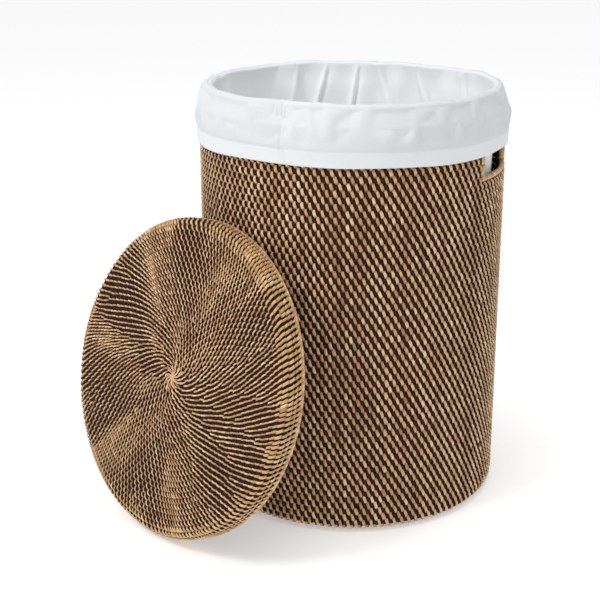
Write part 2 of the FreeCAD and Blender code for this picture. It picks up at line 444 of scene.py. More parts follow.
def build_mesh(name: str, points: Array, faces: list[Array]) -> tuple[Mesh, Array]:
    """Put arrays of points and of equal-sided faces into one mesh, facing outwards.

    The signed volume of all faces is a sum of tetrahedra on the origin; when it
    is negative every face is turned over.

    Args:
        name: The mesh's name.
        points: Positions, (count, 3).
        faces: Arrays of corner numbers, one array per number of sides.

    Returns:
        The mesh, and which of the points it uses.
    """
    faces = [array for array in faces if len(array)]
    used = np.zeros(len(points), bool)
    for array in faces:
        used[array.ravel()] = True
    renumber = np.cumsum(used) - 1
    points = points[used]
    faces = [renumber[array] for array in faces]
    volume = 0.0
    for array in faces:
        for corner in range(1, array.shape[1] - 1):
            one, two, three = (points[array[:, k]] for k in (0, corner, corner + 1))
            volume += float(np.einsum("ij,ij->i", one, np.cross(two, three)).sum())
    if volume < 0:
        faces = [array[:, ::-1] for array in faces]
    mesh = bpy.data.meshes.new(name)
    mesh.vertices.add(len(points))
    mesh.vertices.foreach_set("co", points.astype(np.float32).ravel())
    corners = np.concatenate([array.ravel() for array in faces])
    totals = np.concatenate([np.full(len(array), array.shape[1]) for array in faces])
    starts = np.concatenate([[0], np.cumsum(totals)[:-1]])
    mesh.loops.add(len(corners))
    mesh.loops.foreach_set("vertex_index", corners.astype(np.int32))
    mesh.polygons.add(len(totals))
    mesh.polygons.foreach_set("loop_start", starts.astype(np.int32))
    mesh.update(calc_edges=True)
    mesh.shade_smooth()
    return mesh, used


def number(mesh: Mesh, name: str, values: Array) -> None:
    """Store one number per point under a name."""
    store = mesh.attributes.new(name, "FLOAT", "POINT")
    store.data.foreach_set("value", values.astype(np.float32).ravel())


def ribbons(
    name: str,
    path: Array,
    normal: Array,
    half_width: Values,
    half_thick: float,
    section: Array,
    keep: Array | None = None,
    closed: bool = False,
    tint: Values = 0.0,
    swell: Values = 1.0,
    painted_light: Values = 1.0,
    gold: Values = 0.0,
) -> Mesh:
    """Carry a section along many paths at once.

    A point is path + side * width * section x + up * thick * section y, where
    side is tangent x normal and up is side x tangent.

    Args:
        name: The mesh's name.
        path: Points, (paths, stations, 3).
        normal: The way the section's top faces, the same shape.
        half_width: Half width, a number or (paths, stations or 1).
        half_thick: Half thickness.
        section: The section's corners, (corners, 2).
        keep: Which lengths between stations are made, (paths, stations - 1), or
            (paths, stations) when closed.
        closed: Whether each path ends where it starts.
        tint: Tone of each path, or of each section point, stored as strip.
        swell: Scale of each section point, (paths, stations, corners).
        painted_light: Painted light share, 0 for full painted shade to 1 for none, (paths,
            stations).
        gold: How far a place has yellowed, 0 to 1, per station.

    Returns:
        The mesh, closed at every end, with attributes strip, run, across, painted_light and gold.
    """
    paths, stations, _ = path.shape
    shape = (paths, stations, len(section))
    if closed:
        tangent = unit(np.roll(path, -1, 1) - np.roll(path, 1, 1))
    else:
        tangent = unit(np.gradient(path, axis=1))
    side = unit(np.cross(tangent, normal))
    top = unit(np.cross(side, tangent))
    wide = np.broadcast_to(np.asarray(half_width), (paths, stations))[..., None, None]
    grow = np.broadcast_to(np.asarray(swell), shape)[..., None]
    points = (
        path[:, :, None, :]
        + side[:, :, None, :] * wide * section[None, None, :, :1] * grow
        + top[:, :, None, :] * half_thick * section[None, None, :, 1:] * grow
    )
    if keep is None:
        keep = np.ones((paths, stations if closed else stations - 1), bool)
    label = np.arange(math.prod(shape)).reshape(shape)
    follow = np.roll(label, -1, 1) if closed else label[:, 1:]
    here = label if closed else label[:, :-1]
    quads = np.stack([here, np.roll(here, -1, 2), np.roll(follow, -1, 2), follow], -1)
    quads = quads[keep].reshape(-1, 4)
    nothing = np.zeros((paths, 1), bool)
    before = np.roll(keep, 1, 1) if closed else np.concatenate([nothing, keep], 1)
    after = keep if closed else np.concatenate([keep, nothing], 1)
    starts, ends = label[after & ~before], label[before & ~after]
    mesh, used = build_mesh(name, points.reshape(-1, 3), [quads, starts[:, ::-1], ends])
    strides = np.linalg.norm(np.diff(path, axis=1), axis=-1)
    tint = np.asarray(tint)
    values = {
        "strip": tint[:, None, None] if tint.ndim == 1 else tint,
        "run": np.concatenate([np.zeros((paths, 1)), np.cumsum(strides, 1)], 1)[..., None],
        "across": section[:, 0],
        "painted_light": np.broadcast_to(np.asarray(painted_light), shape[:2])[..., None],
        "gold": np.broadcast_to(np.asarray(gold), (stations,))[None, :, None],
    }
    for label_name, value in values.items():
        number(mesh, label_name, np.broadcast_to(value, shape).reshape(-1)[used])
    return mesh


def around(radius: Array, angle: Array, height: Array) -> Array:
    """Points from radius, angle and height."""
    radius, angle, height = np.broadcast_arrays(radius, angle, height)
    return np.stack([radius * np.cos(angle), radius * np.sin(angle), height], -1)


def outward(points: Array) -> Array:
    """Level directions away from the axis."""
    return unit(points * np.array([1.0, 1.0, 0.0]))


@dataclass
class Maker:
    """Puts finished meshes into the scene, dressed and riding on their bodies."""

    finishes: dict[Slot, Material]

    def place(
        self,
        mesh: Mesh,
        body: Body,
        slot: Slot,
        replaces: tuple[str, ...] = (),
        turned: Matrix | None = None,
    ) -> Object:
        """Add one piece.

        Args:
            mesh: Its mesh.
            body: The body that it rides on.
            slot: Its material slot.
            replaces: The frame's nodes that it stands for.
            turned: Where its own frame stands, if not at the origin.

        Returns:
            The piece.
        """
        if turned is not None:
            mesh.transform(turned)
        mesh.materials.append(self.finishes[slot])
        piece = bpy.data.objects.new(mesh.name, mesh)
        bpy.context.scene.collection.objects.link(piece)
        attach(piece, body.value)
        if replaces:
            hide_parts(*replaces)
        log.info("%-24s %7d faces on %s", mesh.name, len(mesh.polygons), body.value)
        return piece


# ---- Woven cloth of rattan ----


@dataclass
class Weave:
    """Rods laid round an axis with strips woven over and under them.

    A rod is a pair of canes side by side. A strip at distance s along the contour
    stands off its middle surface by outset + rise * c (1.4 - 0.4 c^2), where
    c = cos(pi (s - first) / pitch + pi parity), so that it passes over every other
    rod with a flat crest. It slips sideways by a slow ramp while it is on top and
    back while it is beneath, which leans each stitch and keeps the column in
    line. Each place carries a painted light share: painted shade where the strip
    dives under a rod, and a painted highlight shifted along each stitch, up the
    wall, as light from above would fall.
    """

    contour: Contour
    pitch: float
    half_width: float
    spare: float
    last: float = 0.0
    first: float | None = None
    half_thick: float = 0.00055
    rod_thick: float = 0.0012
    rod_fill: float = 0.98
    outset: float = 0.0014
    # Painted highlight: how far the lit part of each stitch is shifted along it.
    highlight_shift: float = 0.55
    lean: float = math.radians(13)
    edge_lean: float | None = None
    edge_length: float = 0.030
    samples: int = 4
    seed: int = 1
    turnover: float = 0.72
    narrowest: float = 0.006
    sway: float = 0.00022
    sway_lengths: tuple[float, ...] = (0.11, 0.045, 0.023)

    def __post_init__(self) -> None:
        """Count the rods beside the spare length, and find the first from the last."""
        self.rods = int((self.contour.length - self.spare) / self.pitch)
        if self.first is None:
            self.first = self.contour.length - self.last - self.pitch * (self.rods - 1)

    def rod_places(self) -> Array:
        """Where the rods lie along the contour."""
        return self.first + self.pitch * np.arange(self.rods)

    def stations(self) -> Array:
        """Where strips are sampled along the contour, a pitch past the end rods."""
        count = (self.rods + 1) * self.samples
        places = self.first + self.pitch * (np.arange(count + 1) / self.samples - 1)
        return np.clip(places, 0, self.contour.length)

    def _paths(self, angles: Array, parity: Array) -> tuple[Array, Array, Array]:
        """Points and normals of strips, (strips, stations, 3), and their painted light shares."""
        places = self.stations()
        radius, height, out, up = self.contour.at(places)
        phase = math.pi * (places - self.first) / self.pitch + math.pi * parity[:, None]
        wave = np.cos(phase)
        rise = self.rod_thick + self.half_thick + 0.0003
        lift = self.outset + rise * wave * (1.4 - 0.4 * wave * wave)
        turns = [-1, -self.turnover, self.turnover, 1]
        ramp = np.interp(wrap(phase) / math.pi, turns, [0, -self.turnover, self.turnover, 0])
        lean = np.full(len(places), self.lean)
        if self.edge_lean is not None:
            turn = self.contour.length - self.edge_length
            lean = np.interp(places, [turn - 0.006, turn + 0.004], [self.lean, self.edge_lean])
        slip = np.tan(lean) * self.pitch * ramp / np.maximum(radius, self.narrowest)
        rng = np.random.default_rng(self.seed)
        sway = np.zeros(angles.shape)
        for length in self.sway_lengths:
            start = rng.uniform(0, TURN, (len(angles), 1))
            sway += self.sway * np.sin(TURN * places / length + start)
        angle = angles + slip + sway / np.maximum(radius, self.narrowest)
        points = around(radius + lift * out, angle, height + lift * up)
        # Painted light share: lit on the outer tops, shifted along the stitch as a painted
        # highlight, lit again on the inner tops for the inside; painted shade where the strip
        # dives.
        outer = 0.5 + 0.5 * np.cos(phase - self.highlight_shift)
        inner = 0.7 * np.clip(-1.5 * np.cos(phase) - 0.5, 0, 1)
        return points, around(out, angle, up), np.maximum(outer, inner)

    def strips(
        self,
        names: list[str],
        angles: Array,
        parity: Array,
        keep: Array | bool,
        width: Values,
        tint: Array,
        order: Array | None = None,
        gold: Values = 0.0,
    ) -> list[Mesh]:
        """Meshes of the strips, shared out evenly between names.

        Args:
            names: The meshes' names.
            angles: Angle of each strip at each station, (strips, stations or 1).
            parity: 0 or 1 for each strip.
            keep: Which lengths between stations are made.
            width: Half width of each strip as a multiple of the weave's.
            tint: Tone of each strip.
            order: The order in which the strips are shared out.
            gold: How far each station has yellowed.

        Returns:
            One mesh for each name.
        """
        places = self.stations()
        count = len(parity)
        angles = np.broadcast_to(angles, (count, len(places)))
        points, normals, painted_light = self._paths(angles, parity)
        keep = np.broadcast_to(keep & (np.diff(places) > SAME_PLACE), (count, len(places) - 1))
        wide = np.broadcast_to(self.half_width * np.asarray(width), (count, len(places)))
        shared = np.array_split(np.arange(count) if order is None else order, len(names))
        return [
            ribbons(
                name, points[part], normals[part], wide[part], self.half_thick, PEEL_SECTION,
                keep=keep[part],
                tint=tint[part],
                painted_light=painted_light[part],
                gold=gold,
            )
            for name, part in zip(names, shared)
        ]

    def rod_mesh(self, name: str, angle: Array, keep: Array | None = None) -> Mesh:
        """Mesh of all the rods.

        Args:
            name: The mesh's name.
            angle: Stations round the axis.
            keep: Which lengths are made, (rods, stations).

        Returns:
            The mesh.
        """
        tint = np.random.default_rng(self.seed + 50).random(self.rods)
        radius, height, out, up = (value[:, None] for value in self.contour.at(self.rod_places()))
        points, normals = around(radius, angle, height), around(out, angle, up)
        width = self.rod_fill * self.pitch / 2
        shape = (width, self.rod_thick, PAIR_SECTION)
        return ribbons(name, points, normals, *shape, keep, True, tint, painted_light=0.5)


def even_angles(count: int) -> Array:
    """Evenly spread angles round the axis."""
    return TURN * np.arange(count) / count


def grow_columns(radii: Array, spacing: Array, start: int) -> tuple[Array, Array, Array]:
    """Set strips in as rings widen, two at a time so that over and under still alternate.

    Each ring takes pairs into evenly spread gaps until strips stand about one
    spacing apart, and then every strip moves part of the way to the middle of
    its neighbours.

    Args:
        radii: The rings' radii.
        spacing: The wanted distance between strips at each ring.
        start: Strips at the first ring, even.

    Returns:
        Angles (strips, rings), parity (strips) and first ring (strips).
    """
    angles = even_angles(start)
    order = np.arange(start)
    parity = list(np.arange(start) % 2)
    born = [0] * start
    history = []
    for ring_number, radius in enumerate(radii):
        wanted = 2 * int(round(TURN * radius / spacing[ring_number] / 2))
        pairs = max(0, (wanted - len(order)) // 2)
        if pairs:
            offset = 0.37 * (ring_number % 3)
            gaps = np.unique((np.arange(pairs) + offset) * len(order) // pairs)
            gaps = gaps[gaps < len(order)].astype(int)
            for gap in gaps[::-1]:
                here = angles[gap]
                step = (angles[(gap + 1) % len(angles)] - here) % TURN / 3
                fresh = [len(parity), len(parity) + 1]
                parity += [1 - parity[order[gap]], parity[order[gap]]]
                born += [ring_number] * 2
                order = np.insert(order, gap + 1, fresh)
                angles = np.insert(angles, gap + 1, [here + step, here + 2 * step])
        for _ in range(14):
            ahead, behind = np.roll(angles, -1), np.roll(angles, 1)
            ahead[-1] += TURN
            behind[0] -= TURN
            angles = 0.5 * angles + 0.25 * (ahead + behind)
        history.append((order.copy(), angles.copy()))
    table = np.full((len(parity), len(radii)), np.nan)
    for ring_number, (who, where) in enumerate(history):
        table[who, ring_number] = where
    for strip, first in enumerate(born):
        table[strip, :first] = table[strip, first]
    return table, np.array(parity), np.array(born)


@dataclass
class WovenDisc:
    """A weave whose strips are set in from the middle outwards.

    Swirl is how far the columns turn between the middle and the edge. Widen is
    the width of the strips at the far end as a multiple of the first.
    """

    weave: Weave
    spacing: Array
    start: int
    swirl: float = 0.0
    swirl_reach: float = 0.045
    widen: float = 1.0
    rod_sides: int = 110

    def meshes(self, names: list[str], rods_name: str) -> tuple[list[Mesh], Mesh]:
        """Meshes of the strips, shared out between names, and of the rods."""
        weave = self.weave
        rod_radius = weave.contour.at(weave.rod_places())[0]
        table, parity, born = grow_columns(rod_radius, self.spacing, self.start)
        places = weave.stations()
        index = np.clip((places - weave.first) / weave.pitch, 0, weave.rods - 1)
        low = np.floor(index).astype(int)
        high = np.minimum(low + 1, weave.rods - 1)
        share = smooth_step(index - low)
        angles = table[:, low] * (1 - share) + table[:, high] * share
        radius = weave.contour.at(places)[0]
        angles = angles + self.swirl * (1 - np.exp(-radius / self.swirl_reach))[None, :]
        rng = np.random.default_rng(weave.seed + 7)
        tint = rng.random(len(parity))
        end = weave.contour.length
        widths = [1, 0.96, self.widen, self.widen]
        grow = np.interp(places, [0, end - 0.036, end - 0.027, end], widths)
        strips = weave.strips(
            names,
            angles,
            parity,
            keep=index[None, :-1] >= (born[:, None] - 0.6),
            width=grow[None, :] * (1 + 0.07 * rng.normal(size=(len(parity), 1))),
            tint=tint,
            order=np.argsort(table[:, -1]),
            gold=np.clip((grow - 1) / max(self.widen - 1, 0.01), 0, 1),
        )
        return strips, weave.rod_mesh(rods_name, even_angles(self.rod_sides))


# ---- Wound rods ----


@dataclass
class WoundRod:
    """A rod bound with strip: a tube whose radius dips at each turn of the strip."""

    radius: float
    turn: float = 0.0036
    slant: float = 1.0
    depth: float = 0.16
    samples: int = 6
    sides: int = 10

    def mesh(self, name: str, curve: Array, closed: bool) -> Mesh:
        """Wind the strip along a curve.

        The radius is r (1 - depth * groove), where the groove is a narrow dip at
        whole numbers of distance / turn + slant * angle / 2 pi.

        Args:
            name: The mesh's name.
            curve: Dense points along the rod, (count, 3).
            closed: Whether the rod is a ring.

        Returns:
            The mesh.
        """
        whole = np.concatenate([curve, curve[:1]]) if closed else curve
        place = travelled(whole)
        turns = max(2, round(place[-1] / self.turn))
        count = turns * self.samples
        share = np.arange(count) / count if closed else np.linspace(0, 1, count + 1)
        points = read_off(share * place[-1], place, whole)
        across = read_off(share * place[-1], place, outward(whole))
        phase = share[:, None] * turns + self.slant * np.arange(self.sides) / self.sides
        from_edge = np.abs((phase + 0.5) % 1 - 0.5) * 2
        return ribbons(
            name, points[None], across[None], self.radius, self.radius,
            round_section(self.sides),
            closed=closed,
            tint=((np.sin(np.floor(phase) * 12.9898) * 43758.5453) % 1)[None],
            swell=(1 - self.depth * np.exp(-((from_edge / 0.3) ** 2)))[None],
        )


def ring(radius: float, height: float, start: float = 0.0, sweep: float = TURN) -> Array:
    """Dense points on a level circle or arc."""
    count = max(24, int(sweep * radius / 0.002))
    whole = abs(sweep - TURN) < 1e-9
    angle = start + np.linspace(0, sweep, count, endpoint=not whole)
    return around(radius, angle, height)


# ---- Basket ----


@dataclass
class Basket:
    """The basket: woven wall and base, neck, rim and the two framed hand holes."""

    maker: Maker
    columns: int = 250
    neck_columns: int = 240
    pitch: float = 0.0087
    base_pitch: float = 0.0095
    strip_half: float = 0.00205
    slant: float = -math.radians(18)
    foot: float = 0.012
    foot_reach: float = 0.024
    wall_parts: int = 5
    wall_skin: float = 0.0036
    base_skin: float = 0.0040
    neck_skin: float = 0.0028

    def __post_init__(self) -> None:
        """Read the wall's and the holes' sizes from the frame."""
        self.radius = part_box("wall_weave")[1].x
        sill_low, sill_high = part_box("sill_right")
        self.hole_low = sill_low.z
        self.hole_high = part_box("grip_right")[1].z
        self.hole_half = math.asin(sill_high.y / self.radius)

    def _in_hole(self, angle: Array, height: Array) -> Array:
        """Whether places lie in either hand hole's cut."""
        from_x = np.abs((angle + math.pi / 2) % math.pi - math.pi / 2)
        return (from_x < self.hole_half) & (height > self.hole_low) & (height < self.hole_high)

    def _place(self, mesh: Mesh, slot: Slot, *nodes: str) -> None:
        """Place a piece of the basket, for the nodes that it stands for."""
        self.maker.place(mesh, Body.BASKET, slot, nodes)

    def build(self) -> None:
        """Make every piece of the basket."""
        self.wall()
        self.base()
        self.neck()
        self.bindings()
        for side, facing in (("right", 0.0), ("left", math.pi)):
            self.hand_hole(side, facing)

    def wall(self) -> None:
        """Weave the wall in upright parts, turned in at the foot, cut away at the hand holes."""
        middle = self.radius - self.wall_skin
        low = self.wall_skin + 0.0002
        contour = Contour(
            [(middle - self.foot_reach, low), (middle, low), (middle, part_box("wall_weave")[1].z)],
            self.foot,
        )
        weave = Weave(
            contour, self.pitch, self.strip_half,
            spare=0.006,
            last=0.004,
            lean=self.slant,
            seed=3,
        )
        angle = even_angles(self.columns)
        height = contour.at(weave.stations())[1]
        between = (height[1:] + height[:-1]) / 2
        rng = np.random.default_rng(8)
        tint = rng.random(self.columns)
        strips = weave.strips(
            [f"wall_strips_{number_}" for number_ in range(1, self.wall_parts + 1)],
            angle[:, None],
            np.arange(self.columns) % 2,
            keep=~self._in_hole(angle[:, None], between[None, :]),
            width=1 + 0.08 * rng.normal(size=(self.columns, 1)),
            tint=tint,
        )
        for index, mesh in enumerate(strips):
            self._place(mesh, Slot.WEAVE, *(() if index else ("wall_weave",)))
        beside = np.linspace(self.hole_half, math.pi / 2, 27)[1:-1]
        quarter = np.concatenate([np.linspace(0, self.hole_half, 5), beside])
        half = np.sort(np.concatenate([quarter, math.pi - quarter[:0:-1], [math.pi / 2]]))
        angle = np.concatenate([half, half + math.pi])
        middles = (angle + np.append(angle[1:], TURN)) / 2
        rod_height = contour.at(weave.rod_places())[1]
        rod_keep = ~self._in_hole(middles[None, :], rod_height[:, None])
        self._place(weave.rod_mesh("wall_rods", angle, rod_keep), Slot.ROD)

    def base(self) -> None:
        """Weave the base from its middle outwards."""
        reach = self.radius - self.foot_reach
        skin = self.base_skin
        contour = Contour([(0.004, skin), (reach / 2, skin), (reach, skin)], 0.01)
        weave = Weave(
            contour, self.base_pitch, 0.0021,
            spare=0.010,
            first=0.008,
            lean=math.radians(10),
            seed=21,
        )
        disc = WovenDisc(weave, np.full(weave.rods, 0.0066), 10)
        strips, rods = disc.meshes(["base_strips"], "base_rods")
        self._place(strips[0], Slot.WEAVE, "woven_base")
        self._place(rods, Slot.ROD)

    def neck(self) -> None:
        """Weave the narrow neck band under the rim."""
        low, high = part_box("neck_weave")
        middle = high.x - self.neck_skin
        heights = (low.z, (low.z + high.z) / 2, high.z)
        weave = Weave(
            Contour([(middle, height) for height in heights], 1.0),
            self.pitch, self.strip_half,
            spare=0.003,
            first=0.0045,
            lean=self.slant,
            seed=4,
        )
        count = self.neck_columns
        tint = np.random.default_rng(5).random(count)
        angles, parity = even_angles(count)[:, None], np.arange(count) % 2
        strips = weave.strips(["neck_strips"], angles, parity, True, 1.0, tint)
        self._place(strips[0], Slot.WEAVE, "neck_weave")
        self._place(weave.rod_mesh("neck_rods", even_angles(96)), Slot.ROD)

    def bindings(self) -> None:
        """Wind the rim hoop and the braid on the wall, and finish the base hoop."""
        for node, name, turn in (
            ("rim_hoop", "rim_binding", 0.0045),
            ("wall_border", "wall_braid", 0.0055),
            ("base_hoop", "base_binding", 0.006),
        ):
            low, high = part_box(node)
            rod = (high.z - low.z) / 2
            curve = ring(high.x - rod, (high.z + low.z) / 2)
            wound = WoundRod(rod, turn, slant=2.0)
            self._place(wound.mesh(name, curve, True), Slot.BINDING, node)

    def hand_hole(self, side: str, facing: float) -> None:
        """Frame one hand hole with a wound grip, a braided sill and two wound posts."""
        for node, slant in ((f"grip_{side}", 0.6), (f"sill_{side}", 1.0)):
            low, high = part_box(node)
            rod = (high.z - low.z) / 2
            half = math.asin(high.y / self.radius)
            curve = ring(self.radius - rod, (high.z + low.z) / 2, facing - half, 2 * half)
            wound = WoundRod(rod, slant=slant)
            self._place(wound.mesh(f"{node}_binding", curve, False), Slot.BINDING, node)
        for node in (f"post_{side}_front", f"post_{side}_back"):
            low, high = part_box(node)
            middle = (low + high) / 2
            height = np.linspace(low.z, high.z, 40)
            curve = np.stack([np.full(40, middle.x), np.full(40, middle.y), height], -1)
            wound = WoundRod((high.x - low.x) / 2)
            self._place(wound.mesh(f"{node}_binding", curve, False), Slot.BINDING, node)


# ---- Lid ----


@dataclass
class Lid:
    """The lid: one swirling weave from the middle over the edge and down the skirt."""

    maker: Maker
    pitch: float = 0.0071
    strip_half: float = 0.00115
    edge: float = 0.009
    skin: float = 0.0034
    parts: int = 3
    hoop_rod: float = 0.0035
    star_arms: int = 11

    def __post_init__(self) -> None:
        """Find the lid's own frame from the hem and the knot of the fixed frame."""
        hem, star = self._points("lid_hem"), self._points("lid_star")
        middle = hem.mean(0)
        _, _, axes = np.linalg.svd(hem - middle, full_matrices=False)
        upright = axes[2]
        if upright @ (star.mean(0) - middle) < 0:
            upright = -upright
        spread = (hem - middle) @ axes[:2].T
        offset = (spread.max(0) + spread.min(0)) / 2
        middle = middle + offset @ axes[:2]
        across = unit(np.cross(np.array([0.0, 0.0, 1.0]), upright))
        along = np.cross(upright, across)
        heights = (hem - middle) @ upright
        self.hem_rod = (heights.max() - heights.min()) / 2
        origin = middle + upright * (heights.min() + heights.max()) / 2 - upright * self.hem_rod
        self.depth = float(((star - origin) @ upright).min())
        self.radius = float(np.linalg.norm(spread - offset, axis=1).max())
        self.stand = Matrix.Identity(4)
        for row in range(3):
            for column, axis in enumerate((across, along, upright)):
                self.stand[row][column] = axis[row]
            self.stand[row][3] = origin[row]

    @staticmethod
    def _points(node: str) -> Array:
        """Points of one of the frame's nodes."""
        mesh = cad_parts[node].data
        points = np.zeros(len(mesh.vertices) * 3)
        mesh.vertices.foreach_get("co", points)
        return points.reshape(-1, 3)

    def _place(self, mesh: Mesh, slot: Slot, *nodes: str) -> None:
        """Place a piece of the lid, for the nodes that it stands for."""
        self.maker.place(mesh, Body.LID, slot, nodes, self.stand)

    def build(self) -> None:
        """Make every piece of the lid."""
        self.cover()
        self.hem()
        self.knot()

    def cover(self) -> None:
        """Weave the face, the rounded edge and the skirt as one."""
        face = self.depth - self.skin
        outer = self.radius - self.skin
        corners = [(0.003, face), (outer, face), (outer, 2 * self.hem_rod - 0.001)]
        weave = Weave(
            Contour(corners, self.edge, facing=-1.0), self.pitch, self.strip_half,
            spare=0.004,
            last=0.003,
            half_thick=0.0005,
            rod_thick=0.0010,
            rod_fill=1.0,
            outset=0.0013,
            highlight_shift=0.3,
            lean=math.radians(25),
            edge_lean=math.radians(36),
            seed=31,
        )
        spacing = np.interp(weave.rod_places(), [0, 0.05, 0.2], [0.0035, 0.0034, 0.0035])
        disc = WovenDisc(weave, spacing, 12, swirl=0.55, widen=1.55)
        names = [f"lid_strips_{part}" for part in range(1, self.parts + 1)]
        strips, rods = disc.meshes(names, "lid_rods")
        for index, mesh in enumerate(strips):
            self._place(mesh, Slot.WEAVE, *(() if index else ("lid_weave", "lid_skirt")))
        self._place(rods, Slot.ROD)

    def hem(self) -> None:
        """Wind the hem and the hoop inside the corner."""
        hem, hoop = self.hem_rod, self.hoop_rod
        curve = ring(self.radius - hem, hem)
        wound = WoundRod(hem, turn=0.0042, slant=1.6)
        self._place(wound.mesh("lid_hem_binding", curve, True), Slot.BINDING, "lid_hem")
        curve = ring(self.radius - 2 * hem - hoop, self.depth - 0.008 - hoop)
        wound = WoundRod(hoop, turn=0.006)
        self._place(wound.mesh("lid_hoop_binding", curve, True), Slot.BINDING, "lid_hoop")

    def knot(self) -> None:
        """Coil the core closed in the middle and cross a star of short strips over it."""
        radii = np.array([0.0012, 0.0036, 0.0060, 0.0084])[:, None]
        points = around(radii, even_angles(36)[None, :], self.depth - 0.0030)
        upright = np.array([0.0, 0.0, 1.0])
        coil = ribbons(
            "lid_heart_coil", points, np.broadcast_to(upright, points.shape),
            0.00125, 0.0010, round_section(8),
            closed=True,
            tint=np.linspace(0.2, 0.8, len(radii)),
            painted_light=0.5,
        )
        self._place(coil, Slot.ROD)
        arms = self.star_arms
        share = np.linspace(0, 1, 9)
        rng = np.random.default_rng(77)
        radius = share[None, :] * (0.0185 + rng.normal(0, 0.0018, (arms, 1)))
        angle = TURN * (np.arange(arms)[:, None] + rng.normal(0, 0.13, (arms, 1))) / arms
        angle = angle + 0.5 * share[None, :] ** 2
        height = self.depth + 0.0006 - 0.0030 * share[None, :] ** 6
        height = height + 0.0005 * rng.random((arms, 1)) * (1 - share[None, :])
        points = around(radius, angle, height)
        star = ribbons(
            "lid_star_strips", points, np.broadcast_to(upright, points.shape),
            self.strip_half * 1.05, 0.0006, PEEL_SECTION,
            tint=0.6 + 0.4 * rng.random(arms),
        )
        self._place(star, Slot.WEAVE, "lid_star")


# ---- Liner ----


@dataclass(frozen=True)
class Crease:
    """One fold of the cloth, raised beside a sunk line, along its length.

    Places run along the cloth from the top of the rim: inside is negative.
    """

    angle: float
    width: float
    height: float
    start: float
    end: float
    drift: float = 0.0
    pinch: float = 0.6
    ramp: float = 0.03

    def push(self, place: Array, angle: Array, radius: float) -> Array:
        """How far the cloth stands off, (places, angles).

        With u the distance from the crease's line over its width, the shape is
        height * ((1 - pinch) exp(-u^2) + pinch * u * sqrt(2 e) exp(-u^2)).
        """
        strength = np.clip((place - self.start) / self.ramp, 0, 1)
        strength = smooth_step(strength * np.clip((self.end - place) / self.ramp, 0, 1))
        line = self.angle + self.drift * (place - self.end) / radius
        share = wrap(angle[None, :] - line[:, None]) * radius / self.width
        bell = np.exp(-(share**2))
        shape = (1 - self.pinch) * bell + self.pinch * math.sqrt(2 * math.e) * share * bell
        return self.height * strength[:, None] * shape


